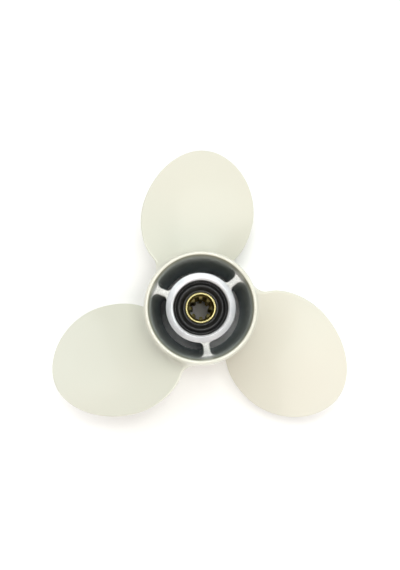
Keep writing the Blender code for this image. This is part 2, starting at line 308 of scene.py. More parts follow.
class Graph:
    """Adds and links nodes in one material or node group."""

    def __init__(self, tree: bpy.types.NodeTree) -> None:
        """Work in one node tree."""
        self.tree = tree

    def node(self, kind: str, inputs: dict | None = None, **settings: object) -> bpy.types.Node:
        """Add a node.

        Args:
            kind: The node's type.
            inputs: A value or another node's output for each named or numbered input.
            **settings: The node's own options.

        Returns:
            The node.
        """
        made = self.tree.nodes.new(kind)
        for key, value in settings.items():
            setattr(made, key, value)
        for key, value in (inputs or {}).items():
            self.feed(made.inputs[key], value)
        return made

    def feed(self, socket: Socket, value: object) -> None:
        """Set an input, or link it to an output.

        Args:
            socket: The input.
            value: A plain value or an output.
        """
        if isinstance(value, bpy.types.NodeSocket):
            self.tree.links.new(value, socket)
        elif isinstance(value, tuple) and len(value) == 3 and socket.type == "RGBA":
            socket.default_value = (*value, 1.0)
        else:
            socket.default_value = value

    def math(self, operation: str, *values: object) -> Socket:
        """The result of one step of arithmetic on numbers or outputs."""
        numbered = dict(enumerate(values))
        return self.node("ShaderNodeMath", numbered, operation=operation).outputs[0]

    def ramp(self, value: object, low: object, high: object) -> Socket:
        """A smooth change from 0 where the value is low to 1 where it is high."""
        wanted = {"Value": value, "From Min": low, "From Max": high}
        return self.node("ShaderNodeMapRange", wanted, interpolation_type="SMOOTHSTEP").outputs[0]

    def mix(self, share: object, first: object, second: object) -> Socket:
        """A mix of two colours, with a share from 0 to 1 of the second."""
        wanted = {0: share, 6: first, 7: second}
        return self.node("ShaderNodeMix", wanted, data_type="RGBA").outputs[2]

    def noise(self, where: object, scale: object, detail: float, rough: float = 0.5) -> Socket:
        """Smooth noise about 0.5, by its waves in a metre, finer layers and their strength."""
        wanted = {"Vector": where, "Scale": scale, "Detail": detail, "Roughness": rough}
        return self.node("ShaderNodeTexNoise", wanted).outputs[0]

    def place(self) -> Socket:
        """The point's own coordinates, in metres."""
        return self.node("ShaderNodeTexCoord").outputs["Object"]

    def split(self) -> Outputs:
        """The point's own coordinates one by one."""
        return self.node("ShaderNodeSeparateXYZ", {0: self.place()}).outputs


class Effect(Enum):
    """Effects that more than one finish uses: the node group's name and its inputs."""

    PEEL = ("sprayed_skin", {"Peel Scale": 700.0, "Wave Scale": 60.0, "Wave Share": 0.6})
    GRAIN = ("cast_grain", {"Grain Scale": 1500.0, "Pit Scale": 900.0})
    RINGS = ("lathe_rings", {"Rings": 4000.0})
    DRIFT = (
        "tone_drift",
        {
            "First Tone": (1.0, 1.0, 1.0, 1.0),
            "Second Tone": (0.5, 0.5, 0.5, 1.0),
            "Drift Scale": 20.0,
            "Amount": 0.5,
        },
    )
    HEIGHT_FADE = ("height_fade", {"Low": 0.07, "High": 0.08, "Raggedness": 0.002})


class EffectGraph(Graph):
    """The nodes of one effect's group, from its named inputs to its named outputs."""

    def __init__(self, effect: Effect) -> None:
        """Build the group.

        Args:
            effect: Which effect.
        """
        name, inputs = effect.value
        super().__init__(bpy.data.node_groups.new(name, "ShaderNodeTree"))
        for key, value in inputs.items():
            self.socket(key, "INPUT", isinstance(value, tuple)).default_value = value
        self.given: Outputs = self.node("NodeGroupInput").outputs
        result = self.node("NodeGroupOutput")
        makers = {
            Effect.PEEL: self.peel,
            Effect.GRAIN: self.grain,
            Effect.RINGS: self.rings,
            Effect.DRIFT: self.drift,
            Effect.HEIGHT_FADE: self.height_fade,
        }
        for key, output in makers[effect]().items():
            self.socket(key, "OUTPUT", output.type == "RGBA")
            self.feed(result.inputs[key], output)

    def socket(self, name: str, way: str, colour: bool) -> bpy.types.NodeTreeInterfaceSocket:
        """Add a named input or output to the group, for a colour or else a number."""
        kind = "NodeSocketColor" if colour else "NodeSocketFloat"
        return self.tree.interface.new_socket(name, in_out=way, socket_type=kind)

    def peel(self) -> dict[str, Socket]:
        """Make the slightly uneven skin of sprayed paint over a casting.

        Returns:
            The group's outputs.
        """
        where = self.place()
        fine = self.noise(where, self.given["Peel Scale"], detail=1.0)
        wave = self.noise(where, self.given["Wave Scale"], detail=2.0)
        lifted = self.math("MULTIPLY_ADD", wave, self.given["Wave Share"], fine)
        return {"Height": lifted, "Gloss Drift": self.math("SUBTRACT", wave, 0.5)}

    def grain(self) -> dict[str, Socket]:
        """Make the fine pitted grain of a cast or moulded skin.

        Returns:
            The group's outputs.
        """
        where = self.place()
        rough = self.noise(where, self.given["Grain Scale"], detail=3.0, rough=0.6)
        cell = {"Vector": where, "Scale": self.given["Pit Scale"]}
        pits = self.node("ShaderNodeTexVoronoi", cell).outputs["Distance"]
        height = self.math("MULTIPLY_ADD", pits, 0.5, rough)
        return {"Height": height, "Speckle": self.ramp(rough, low=0.35, high=0.65)}

    def rings(self) -> dict[str, Socket]:
        """Make fine grooves round the shaft axis, as a lathe tool leaves them.

        Returns:
            The group's outputs.
        """
        x, y, z = self.split().values()
        squares = [self.math("POWER", across, 2.0) for across in (x, y)]
        radius = self.math("SQRT", self.math("ADD", *squares))
        along = self.math("ADD", radius, self.math("MULTIPLY", z, 0.7))
        wanted = {"W": along, "Scale": self.given["Rings"], "Detail": 2.0, "Roughness": 0.6}
        tone = self.node("ShaderNodeTexNoise", wanted, noise_dimensions="1D").outputs[0]
        return {"Height": tone, "Radius": radius}

    def drift(self) -> dict[str, Socket]:
        """Make a slow drift between two tones of one colour.

        Returns:
            The group's outputs.
        """
        broad = self.noise(self.place(), self.given["Drift Scale"], detail=3.0)
        mask = self.ramp(broad, low=0.32, high=0.68)
        share = self.math("MULTIPLY", mask, self.given["Amount"])
        tone = self.mix(share, self.given["First Tone"], self.given["Second Tone"])
        return {"Color": tone, "Mask": mask}

    def height_fade(self) -> dict[str, Socket]:
        """Make a ragged fade between two heights on the shaft axis.

        Returns:
            The group's outputs.
        """
        wisps = self.noise(self.place(), 220.0, detail=4.0, rough=0.6)
        ragged = self.math("SUBTRACT", wisps, 0.5)
        level = self.math("MULTIPLY_ADD", ragged, self.given["Raggedness"], self.split()["Z"])
        return {"Mask": self.ramp(level, self.given["Low"], self.given["High"])}


class Effects:
    """Builds each shared effect once, as a node group."""

    def __init__(self) -> None:
        """Start with none of them made."""
        self.made: dict[Effect, bpy.types.NodeTree] = {}

    def place(self, graph: Graph, effect: Effect, values: Sequence[object]) -> Outputs:
        """Put an effect in a material with its own values.

        Args:
            graph: The material's nodes.
            effect: Which effect.
            values: A value or an output for each of its inputs in turn.

        Returns:
            The outputs of its group node.
        """
        if effect not in self.made:
            self.made[effect] = EffectGraph(effect).tree
        wanted = dict(zip(effect.value[1], values, strict=True))
        return graph.node("ShaderNodeGroup", wanted, node_tree=self.made[effect]).outputs


def principled(
    name: str, plain: dict[str, object]
) -> tuple[bpy.types.Material, Graph, bpy.types.Node]:
    """A new material with its shader and the values that are the same all over.

    Args:
        name: The material's name.
        plain: Values set straight on the shader's inputs.

    Returns:
        The material, its nodes and the shader.
    """
    material = bpy.data.materials.new(name)
    material.use_nodes = True
    shader = material.node_tree.nodes["Principled BSDF"]
    graph = Graph(material.node_tree)
    for key, value in plain.items():
        graph.feed(shader.inputs[key], value)
    return material, graph, shader


@dataclass(frozen=True)
class Finish:
    """Two tones that drift into each other over a skin with its own relief."""

    name: str
    tone: Colour
    second_tone: Colour
    drift_scale: float
    drift_amount: float
    skin: Effect
    skin_values: tuple[float, ...]
    relief: float
    gloss_from: str
    gloss_swing: float
    roughness: float
    metallic: float = 0.0
    ior: float = 1.5
    coat: float = 0.0
    coat_roughness: float = 0.03
    edge_tint: Colour = (1.0, 1.0, 1.0)

    def colour(self, effects: Effects, graph: Graph, drift: Outputs, skin: Outputs) -> Socket:
        """The colour over the surface: the drifting tones, unless a finish adds to them."""
        return drift["Color"]

    def material(self, effects: Effects) -> bpy.types.Material:
        """Build the finish.

        Args:
            effects: The shared effects.

        Returns:
            The material.
        """
        plain = {"Metallic": self.metallic, "IOR": self.ior, "Coat Weight": self.coat}
        plain |= {"Coat Roughness": self.coat_roughness, "Specular Tint": self.edge_tint}
        material, graph, shader = principled(self.name, plain)
        tones = (self.tone, self.second_tone, self.drift_scale, self.drift_amount)
        drift = effects.place(graph, Effect.DRIFT, tones)
        skin = effects.place(graph, self.skin, self.skin_values)
        uneven = skin.get(self.gloss_from) or drift[self.gloss_from]
        gloss = graph.math("MULTIPLY_ADD", uneven, self.gloss_swing, self.roughness)
        bump = graph.node("ShaderNodeBump", {"Height": skin["Height"], "Distance": self.relief})
        graph.feed(shader.inputs["Base Color"], self.colour(effects, graph, drift, skin))
        graph.feed(shader.inputs["Roughness"], gloss)
        graph.feed(shader.inputs["Normal"], bump.outputs[0])
        return material


@dataclass(frozen=True)
class CreamPaint(Finish):
    """Glossy cream enamel sprayed over the casting."""

    name: str = "cream_paint"
    tone: Colour = (0.610, 0.616, 0.530)
    second_tone: Colour = (0.622, 0.600, 0.510)
    drift_scale: float = 9.0
    drift_amount: float = 0.7
    skin: Effect = Effect.PEEL
    skin_values: tuple[float, ...] = (650.0, 55.0, 1.6)
    relief: float = 0.00003
    gloss_from: str = "Gloss Drift"
    gloss_swing: float = 0.18
    roughness: float = 0.34
    coat: float = 0.35
    coat_roughness: float = 0.12


@dataclass(frozen=True)
class BorePaint(Finish):
    """Greenish grey paint in the exhaust passages.

    Lower down it is painted paler, as painted light for the light that reaches the
    lower walls, and a ragged mist of thin cream lies over it below the rim. Each
    fade has its lower and upper height and its raggedness.
    """

    name: str = "dark_bore_paint"
    tone: Colour = (0.290, 0.315, 0.295)
    second_tone: Colour = (0.390, 0.420, 0.395)
    drift_scale: float = 45.0
    drift_amount: float = 0.8
    skin: Effect = Effect.PEEL
    skin_values: tuple[float, ...] = (520.0, 90.0, 1.5)
    relief: float = 0.00006
    gloss_from: str = "Gloss Drift"
    gloss_swing: float = 0.3
    roughness: float = 0.36
    coat: float = 0.2
    coat_roughness: float = 0.25
    # painted light: a paler tone low in the passages stands in for the light that reaches the lower
    # walls
    painted_depth_light_tone: Colour = (0.500, 0.560, 0.580)
    painted_depth_light_fade: tuple[float, float, float] = (0.020, 0.062, 0.004)
    mist: Colour = (0.330, 0.320, 0.210)
    mist_fade: tuple[float, float, float] = (0.0745, 0.0850, 0.0015)

    def colour(self, effects: Effects, graph: Graph, drift: Outputs, skin: Outputs) -> Socket:
        """The drifting tones with the paler painted-light tone below them and the mist above.

        Args:
            effects: The shared effects.
            graph: The material's nodes.
            drift: The drifting tones.
            skin: The skin's effect, not used here.

        Returns:
            The colour over the surface.
        """
        # painted light: paler low down, for the light that reaches the lower passage walls
        depth_light = effects.place(graph, Effect.HEIGHT_FADE, self.painted_depth_light_fade)
        rim = effects.place(graph, Effect.HEIGHT_FADE, self.mist_fade)
        wall = graph.mix(depth_light["Mask"], self.painted_depth_light_tone, drift["Color"])
        return graph.mix(rim["Mask"], wall, self.mist)


@dataclass(frozen=True)
class CastAluminium(Finish):
    """Bare aluminium as it left the mould, on the webs and in the tube."""

    name: str = "cast_aluminium"
    tone: Colour = (0.62, 0.62, 0.60)
    second_tone: Colour = (0.38, 0.39, 0.38)
    drift_scale: float = 260.0
    drift_amount: float = 0.35
    skin: Effect = Effect.GRAIN
    skin_values: tuple[float, ...] = (1300.0, 800.0)
    relief: float = 0.00009
    gloss_from: str = "Speckle"
    gloss_swing: float = 0.16
    roughness: float = 0.55
    metallic: float = 1.0
    speckle: float = 0.35

    def colour(self, effects: Effects, graph: Graph, drift: Outputs, skin: Outputs) -> Socket:
        """The drifting tones, speckled with the duller one."""
        speckle = graph.math("MULTIPLY", skin["Speckle"], self.speckle)
        return graph.mix(speckle, drift["Color"], self.second_tone)


@dataclass(frozen=True)
class TurnedAluminium(Finish):
    """Aluminium faced on a lathe, on the end of the inner tube, with a painted highlight on its
    chamfer.
    """

    name: str = "turned_aluminium"
    tone: Colour = (0.50, 0.51, 0.52)
    second_tone: Colour = (0.34, 0.35, 0.37)
    drift_scale: float = 130.0
    drift_amount: float = 0.4
    skin: Effect = Effect.RINGS
    skin_values: tuple[float, ...] = (3000.0,)
    relief: float = 0.00002
    gloss_from: str = "Height"
    gloss_swing: float = 0.2
    roughness: float = 0.40
    metallic: float = 1.0
    # painted highlight: the chamfer's brighter tone stands in for the light it reflects
    painted_chamfer_highlight: Colour = (0.88, 0.89, 0.91)
    chamfer_edge: float = 0.0195
    chamfer_fade: float = 0.0002

    def colour(self, effects: Effects, graph: Graph, drift: Outputs, skin: Outputs) -> Socket:
        """The drifting tones, and inside the chamfer's edge a brighter tone that is a painted
        highlight.

        Args:
            effects: The shared effects, not used here.
            graph: The material's nodes.
            drift: The drifting tones.
            skin: The skin's effect.

        Returns:
            The colour over the surface.
        """
        outside = self.chamfer_edge + self.chamfer_fade
        # painted highlight: a brighter tone inside the chamfer's edge, for the light it reflects
        chamfer = graph.ramp(skin["Radius"], outside, self.chamfer_edge)
        return graph.mix(chamfer, drift["Color"], self.painted_chamfer_highlight)


@dataclass(frozen=True)
class BlackRubber(Finish):
    """Moulded rubber with a dull, faintly grained skin."""

    name: str = "black_rubber"
    tone: Colour = (0.003, 0.003, 0.003)
    second_tone: Colour = (0.011, 0.011, 0.012)
    drift_scale: float = 320.0
    drift_amount: float = 0.6
    skin: Effect = Effect.GRAIN
    skin_values: tuple[float, ...] = (1100.0, 500.0)
    relief: float = 0.00004
    gloss_from: str = "Mask"
    gloss_swing: float = 0.14
    roughness: float = 0.32
    ior: float = 1.4


@dataclass(frozen=True)
class Brass(Finish):
    """Turned brass, bright on its end ring and darker brown inside the counterbore.

    Its two drifting tones set how much darker the inside is.
    """

    name: str = "brass"
    tone: Colour = (1.0, 1.0, 1.0)
    second_tone: Colour = (0.75, 0.75, 0.75)
    drift_scale: float = 300.0
    drift_amount: float = 1.0
    skin: Effect = Effect.RINGS
    skin_values: tuple[float, ...] = (2600.0,)
    relief: float = 0.000015
    gloss_from: str = "Height"
    gloss_swing: float = 0.22
    roughness: float = 0.32
    metallic: float = 1.0
    edge_tint: Colour = (0.42, 0.30, 0.05)
    bright_tone: Colour = (0.34, 0.30, 0.14)
    inner_dark_tone: Colour = (0.050, 0.034, 0.001)
    inner_from: float = 0.0091
    inner_fade: float = 0.0001
    teeth_from: float = 0.0078
    teeth_fade: float = 0.0002
    teeth_spared: float = 0.9

    def colour(self, effects: Effects, graph: Graph, drift: Outputs, skin: Outputs) -> Socket:
        """Bright brass, darker brown inside the counterbore, and only a little darker on the teeth.

        Args:
            effects: The shared effects, not used here.
            graph: The material's nodes.
            drift: How much darker the inside is.
            skin: The rings, with the radius.

        Returns:
            The colour over the surface.
        """
        radius, ring, teeth = skin["Radius"], self.inner_from, self.teeth_from
        # darker brown inside the counterbore radius, the teeth darkened only a tenth as much
        inner = graph.ramp(radius, ring + self.inner_fade, ring - self.inner_fade)
        on_teeth = graph.ramp(radius, teeth + self.teeth_fade, teeth)
        darkening = graph.math("MULTIPLY_ADD", on_teeth, -self.teeth_spared, 1.0)
        inner_dark = graph.math("MULTIPLY", inner, drift["Color"])
        share = graph.math("MULTIPLY", inner_dark, darkening)
        return graph.mix(share, self.bright_tone, self.inner_dark_tone)


@dataclass(frozen=True)
class HubSizes:
    """The barrel, its rim, the inner tube and the webs, in metres and degrees."""

    length: float = 0.084
    barrel: float = 0.0380
    barrel_front: float = 0.0384
    taper: float = 0.010
    rim_bore: float = 0.0344
    rim_rounding: float = 0.0011
    rim_edge: float = 17.0
    front_bore: float = 0.0345
    front_rounding: float = 0.0010
    front_bore_rounding: float = 0.0005
    passage: float = 0.0334
    passage_front: float = 0.0302
    front_ledge: float = 0.0004
    seam: float = 0.00003
    tube: float = 0.0231
    tube_bore: float = 0.0184
    tube_face: float = 0.0196
    tube_chamfer_depth: float = 0.0010
    tube_face_drop: float = 0.0006
    tube_below_rim: float = 0.0074
    tube_front: float = 0.0060
    tube_roundings: tuple[float, ...] = (0.00015, 0.0002, 0.0003)
    webs_below_rim: float = 0.0084
    webs_front: float = 0.0120
    web_thickness: float = 0.0048
    web_one: float = 38.1
    web_rounding_outer: float = 0.0040
    web_rounding_inner: float = 0.0026
    web_edge: float = 0.0009
    web_front_edge: float = 0.0005
    edge_room: float = 0.45
    web_fillet: float = 0.0014
    web_fillet_ends: float = 13.0
    web_fillet_fade: float = 7.0
    front_lip: float = 0.0150
    front_lip_thickness: float = 0.0030
    lip_roundings: tuple[float, ...] = (0.0004, 0.0003, 0.0003, 0.0006)

    @property
    def web_aft(self) -> float:
        """Height of the webs' aft faces."""
        return self.length - self.webs_below_rim

    @property
    def tube_aft(self) -> float:
        """Height of the inner tube's end."""
        return self.length - self.tube_below_rim

    @property
    def tube_wall(self) -> float:
        """Radius of a passage's inner wall, a hair outside the tube."""
        return self.tube + self.seam

    @property
    def wall(self) -> float:
        """Radius of the barrel's inner wall at the webs."""
        return self.passage + self.seam

    @property
    def front_wall(self) -> float:
        """Radius of the barrel's inner wall at the webs' front faces."""
        return self.passage_front + self.front_ledge

    def rim_arc(self, start: float, end: float, pieces: int) -> list[Flat]:
        """Points on the rounded rim, from one angle to another, with 90 degrees at its crest."""
        centre = (self.rim_bore + self.rim_rounding, self.length - self.rim_rounding)
        return arc(centre, self.rim_rounding, start, end, pieces)

    def outside(self, height: float) -> float:
        """The barrel's outer side, taper included.

        Args:
            height: A height on the shaft axis.

        Returns:
            The radius at that height.
        """
        edge_radius, edge_height = self.rim_arc(self.rim_edge, self.rim_edge, 1)[0]
        foot = self.length - self.taper
        if height >= foot:
            share = (edge_height - height) / (edge_height - foot)
            return self.barrel - (self.barrel - edge_radius) * (1 - share) ** 2
        drop = (foot - height) / (foot - self.front_rounding)
        return self.barrel + (self.barrel_front - self.barrel) * drop


@dataclass(frozen=True)
class BladeSizes:
    """One blade's outline, pitch, lean and sections, in metres and degrees."""

    count: int = 3
    diameter: float = 0.235
    pitch: float = 0.229
    first_at: float = 90.0
    centre: float = 0.0775
    half_arc: float = 0.0427
    inner_reach: float = 0.0480
    power: float = 1.9
    skew_root: float = 5.5
    skew_tip: float = -2.4
    skew_power: float = 1.2
    root_height: float = 0.0428
    rake: float = -0.037
    root_thickness: float = 0.0085
    tip_thickness: float = 0.0024
    thinning: float = 0.8
    edge: float = 0.0018
    tip_turn: float = 86.0
    aft_fillet: float = 0.0036
    fore_fillet: float = 0.0085
    fillet_crowding: float = 1.9
    root_spread: float = 0.0035
    spread_height: float = 0.0090

    @property
    def apart(self) -> float:
        """The angle from one blade to the next."""
        return 360.0 / self.count

    def half_width(self, radius: float) -> float:
        """Half the blade's width round the shaft.

        Args:
            radius: Distance from the shaft axis.

        Returns:
            The half width there.
        """
        reach = self.inner_reach if radius <= self.centre else self.diameter / 2 - self.centre
        share = min(1.0, abs(radius - self.centre) / reach)
        return self.half_arc * (1 - share**self.power) ** (1 / self.power)

    def edge_at(self, radius: float) -> float:
        """Thickness of the blade's rounded edge, which rounds off at the tip.

        Args:
            radius: Distance from the shaft axis.

        Returns:
            The thickness there.
        """
        half = self.edge / 2
        share = max(0.0, (radius - (self.diameter / 2 - half)) / half)
        return self.edge * math.sqrt(max(0.0, 1 - share * share))


class CastingFinish(IntEnum):
    """Which finish a face of the casting has."""

    PAINT = 0
    BORE = 1
    CAST = 2
    TURNED = 3


@dataclass(frozen=True)
class CastingSteps:
    """How finely the casting's mesh is divided."""

    round_shaft: int = 192
    section: int = 44
    nose: int = 12
    foot_rounds: int = 12
    fillet: int = 16
    blade: int = 46
    tip: int = 6
    wall_corner: int = 14
    tube_corner: int = 12
    flank: int = 5
    wall_arc: int = 54
    tube_arc: int = 40
    aft_edge: int = 5
    front_edge: int = 4
    passage: int = 14
    web_rings: int = 14
    rim: int = 8
    bore: int = 10
    taper: int = 5
    barrel_front: int = 6
    front_corner: int = 6
    front_bore: int = 5

    @property
    def side(self) -> int:
        """Stations over one face of a blade's section and round its edge."""
        return self.section + self.nose


@dataclass
class Casting:
    """Barrel, webs, inner tube and blades as one closed skin.

    Sizes are in metres and degrees, but the gaps of the two flat fills in millimetres.
    """

    hub: HubSizes = HubSizes()
    blade: BladeSizes = BladeSizes()
    steps: CastingSteps = CastingSteps()
    mesh: ClosedMesh = field(default_factory=ClosedMesh)
    patch_low: float = 0.010
    patch_high: float = 0.0800
    patch_turn: float = 11.25
    patch_grid: float = 0.0014
    patch_gap: float = 0.75
    web_gap: float = 0.35
    web_ring_in: float = 0.0007
    web_ring_out: float = 0.0003
    web_stagger: float = 0.9
    crisp: float = 38.0

    @property
    def angles(self) -> list[float]:
        """Where the turned rows have their points, in degrees."""
        return full_turn(self.steps.round_shaft)

    @staticmethod
    def flare(lift: float, fillet: float) -> float:
        """How far a fillet stands out from the blade at a height above the barrel."""
        short = max(0.0, fillet - max(0.0, lift))
        return fillet - math.sqrt(fillet**2 - short**2)

    def spread(self, radius: float) -> float:
        """How much further the trailing edge runs close to the barrel."""
        share = min(1.0, max(0.0, radius - self.hub.barrel) / self.blade.spread_height)
        return self.blade.root_spread * (1 - share) ** 2

    def skin_point(self, station: int, radius: float, lift: float) -> Flat:
        """Where one station of the blade's section is at a radius.

        Args:
            station: Its number round the section.
            radius: Distance from the shaft axis.
            lift: Height above the barrel, which sets the fillet.

        Returns:
            The angle round the shaft in radians, and the height along it.
        """
        b, root = self.blade, self.hub.barrel
        slope = math.atan2(b.pitch, 2 * math.pi * radius)
        outer = max(0.0, (radius - root) / (b.diameter / 2 - root))
        edge = b.edge_at(radius)
        thickest = b.root_thickness + (b.tip_thickness - b.root_thickness) * outer**b.thinning
        belly = max(0.0, thickest - b.edge) * edge / b.edge
        skins = tuple(edge / 2 + self.flare(lift, f) for f in (b.aft_fillet, b.fore_fillet))
        reach = max(0.0, b.half_width(radius) - edge / 2 * math.cos(slope))
        along, beyond, off = self.section_point(station, (reach, self.spread(radius)), skins, belly)
        swept = math.sin(math.pi / 2 * min(1.0, outer**b.skew_power))
        skew = b.skew_root + (b.skew_tip - b.skew_root) * swept
        round_shaft = along + beyond * math.cos(slope) - off * math.sin(slope)
        angle = math.radians(b.first_at + skew) + round_shaft / radius
        screw = b.pitch * (along / radius + math.radians(skew)) / (2 * math.pi)
        middle = b.root_height + b.rake * (radius - root)
        return angle, middle + screw + beyond * math.sin(slope) + off * math.cos(slope)

    def section_point(self, station: int, width: Flat, skins: Flat, belly: float) -> Point:
        """One station of a section laid flat.

        Args:
            station: Its number, over the aft face, round the trailing edge, back over
                the forward face and round the leading edge.
            width: Half the section's width between the centres of its edges, and how
                much further its trailing edge reaches.
            skins: How far the aft and the forward face stand off the middle line.
            belly: How much thicker its middle is.

        Returns:
            Distance along the section, beyond its edge and off its middle line.
        """
        reach, spread = width
        aft, fore = skins
        steps = self.steps
        over = station % steps.side
        forward = station >= steps.side
        share = -math.cos(math.pi * min(over, steps.section) / steps.section)
        if forward:
            share = -share
        place = reach * share + spread * (1 + share) / 2
        if over <= steps.section:
            return place, 0.0, (-fore - belly * (1 - share * share)) if forward else aft
        turn = math.pi * (over - steps.section) / steps.nose
        first, last, sign = (fore, aft, -1.0) if forward else (aft, fore, 1.0)
        skin = first + (last - first) * (1 - math.cos(turn)) / 2
        return place, sign * skin * math.sin(turn), sign * skin * math.cos(turn)

    def foot(self, station: int) -> float:
        """Find where a station of the section meets the barrel.

        Args:
            station: Its number round the section.

        Returns:
            The radius there.
        """
        radius = self.hub.barrel
        for _ in range(self.steps.foot_rounds):
            radius = self.hub.outside(self.skin_point(station, radius, 0.0)[1])
        return radius

    def blade_rows(self, turn: float) -> list[list[Point]]:
        """The rows of one blade, from its foot on the barrel to its tip.

        Args:
            turn: How far the blade is turned from the first one, in degrees.

        Returns:
            Closed rows of points.
        """
        b, steps, swing = self.blade, self.steps, math.radians(turn)
        feet = [self.foot(station) for station in range(2 * steps.side)]
        end = b.diameter / 2 - b.edge / 2
        rows = []
        for i in range(steps.fillet + 1):
            lift = b.fore_fillet * (i / steps.fillet) ** b.fillet_crowding
            rows.append([(foot + lift, lift) for foot in feet])
        for i in range(1, steps.blade + 1):
            share = math.sin(math.pi / 2 * i / steps.blade)
            starts = [foot + b.fore_fillet for foot in feet]
            rows.append([(start + (end - start) * share, b.fore_fillet) for start in starts])
        for i in range(1, steps.tip + 1):
            radius = end + b.edge / 2 * math.sin(math.radians(b.tip_turn * i / steps.tip))
            rows.append([(radius, b.fore_fillet)] * len(feet))
        made = []
        for row in rows:
            points = []
            for station, (radius, lift) in enumerate(row):
                angle, height = self.skin_point(station, radius, lift)
                angle += swing
                points.append((radius * math.cos(angle), radius * math.sin(angle), height))
            made.append(points)
        return made

    def add_blade(self, turn: float) -> None:
        """Add one blade, closed at its tip and open at its foot.

        Args:
            turn: How far the blade is turned from the first one, in degrees.
        """
        mesh, rows = self.mesh, self.blade_rows(turn)
        mesh.loft(rows, CastingFinish.PAINT)
        tip = mesh.row(rows[-1])
        width, side = self.steps.section, self.steps.side
        fore = tip[side : side + width + 1][::-1]
        for i in range(width):
            mesh.face((tip[i], tip[i + 1], fore[i + 1], fore[i]), CastingFinish.PAINT)
        mesh.face(tip[width : side + 1], CastingFinish.PAINT)
        mesh.face(tip[side + width :] + tip[:1], CastingFinish.PAINT)

    def add_barrel_patch(self) -> None:
        """Add the barrel's outer side, open where the blades stand on it.

        It is filled flat, in millimetres round the barrel and along the shaft.
        """
        hub, apart = self.hub, self.blade.apart
        levels = round((self.patch_high - self.patch_low) / self.patch_grid)
        first = self.blade.first_at - apart / 2 + self.patch_turn
        around = math.radians(apart) * hub.barrel / MM
        heights = np.linspace(self.patch_low, self.patch_high, levels + 1) / MM
        across = np.linspace(0.0, around, self.steps.round_shaft // self.blade.count + 1)
        loop = [(x, heights[0]) for x in across] + [(around, z) for z in heights[1:]]
        loop += [(x, heights[-1]) for x in across[-2::-1]] + [(0.0, z) for z in heights[-2:0:-1]]
        foot = []
        for x, y, z in self.blade_rows(0.0)[0]:
            swing = math.atan2(y, x) - math.radians(first)
            foot.append((swing * hub.barrel / MM, z / MM))
        loose = np.array([(x, z) for x in across[1:-1] for z in heights[1:-1]])
        flat, faces = fill_flat(np.array(loop), [np.array(foot)], loose, self.patch_gap)
        for i in range(self.blade.count):
            points = []
            for x, height in flat.tolist():
                angle = first + i * apart + math.degrees(x * MM / hub.barrel)
                points.append((*polar(hub.outside(height * MM), angle), height * MM))
            self.mesh.patch(points, faces, CastingFinish.PAINT)

    def web_corner(self, ring: float, rounding: float, outside: bool) -> list[Flat]:
        """Arc from a web's flank to the ring that the web meets.

        Args:
            ring: Radius of the ring about the shaft.
            rounding: The corner's own radius.
            outside: Whether the ring is the barrel's wall, and not the tube's.

        Returns:
            Points in the web's own frame: out along the web, and off its middle line.
        """
        off_web = self.hub.web_thickness / 2 + rounding
        from_shaft = ring - rounding if outside else ring + rounding
        centre = (math.sqrt(from_shaft**2 - off_web**2), off_web)
        facing = math.degrees(math.atan2(centre[1], centre[0]))
        if outside:
            return arc(centre, rounding, -90, facing, self.steps.wall_corner)
        return arc(centre, rounding, 270, facing + 180, self.steps.tube_corner)

    def passage(self) -> list[tuple[float, float, float, float]]:
        """The outline of the exhaust passage about the angle zero.

        Returns:
            Each point's place across the shaft and the direction out of the passage.
        """
        hub, steps = self.hub, self.steps
        near = self.web_corner(hub.tube_wall, hub.web_rounding_inner, False)[::-1]
        far = self.web_corner(hub.passage, hub.web_rounding_outer, True)
        swing = math.radians(-self.blade.apart / 2)
        flank = near + straight(near[-1], far[0], steps.flank)[1:-1] + far
        one_side = [turned(x, y, math.cos(swing), math.sin(swing)) for x, y in flank]
        other_side = [(x, -y) for x, y in reversed(one_side)]
        ends = (other_side[0], other_side[-1])
        wide, narrow = (math.degrees(math.atan2(y, x)) for x, y in ends)
        points = one_side + arc((0.0, 0.0), hub.passage, -wide, wide, steps.wall_arc)[1:-1]
        points += other_side
        points += arc((0.0, 0.0), hub.tube_wall, narrow, -narrow, steps.tube_arc)[1:-1]
        return self.with_ways_out(points)

    @staticmethod
    def with_ways_out(points: list[Flat]) -> list[tuple[float, float, float, float]]:
        """Find the direction that leaves a closed outline at each of its points.

        Args:
            points: The outline.

        Returns:
            Each point with its direction.
        """
        ahead = points[1:] + points[:1]
        area = sum(a[0] * b[1] - b[0] * a[1] for a, b in zip(points, ahead))
        sign = 1.0 if area > 0 else -1.0
        made = []
        for back, (x, y), front in zip(points[-1:] + points[:-1], points, ahead):
            run = Vector((front[0] - back[0], front[1] - back[1])).normalized()
            made.append((x, y, sign * run.y, sign * -run.x))
        return made

    def web_lift(self, point: Flat) -> float:
        """How far the fillet to the barrel lifts a web's aft face.

        Args:
            point: A place across the shaft.

        Returns:
            The lift, which is none away from a web.
        """
        hub, apart = self.hub, self.blade.apart
        angle = math.degrees(math.atan2(point[1], point[0]))
        away = abs((angle - hub.web_one + apart / 2) % apart - apart / 2)
        share = min(1.0, max(0.0, (hub.web_fillet_ends - away) / hub.web_fillet_fade))
        share = share * share * (3 - 2 * share)
        from_wall = hub.wall - math.hypot(*point)
        short = hub.web_fillet - min(hub.web_fillet, from_wall if from_wall > WELD else 0.0)
        return share * (hub.web_fillet - math.sqrt(hub.web_fillet**2 - short**2))

    def edge_rounding(self, point: Flat, aft: bool) -> float:
        """The rounding that a passage's edge has, as far as there is room for it.

        Args:
            point: A place across the shaft, on the edge.
            aft: Whether it is the aft edge, and not the front one.

        Returns:
            The rounding's radius.
        """
        hub, radius = self.hub, math.hypot(*point)
        room = min((hub.wall if aft else hub.front_wall) - radius, radius - hub.tube)
        edge = hub.web_edge if aft else hub.web_front_edge
        return min(edge, max(0.0, hub.edge_room * (room - hub.seam)))

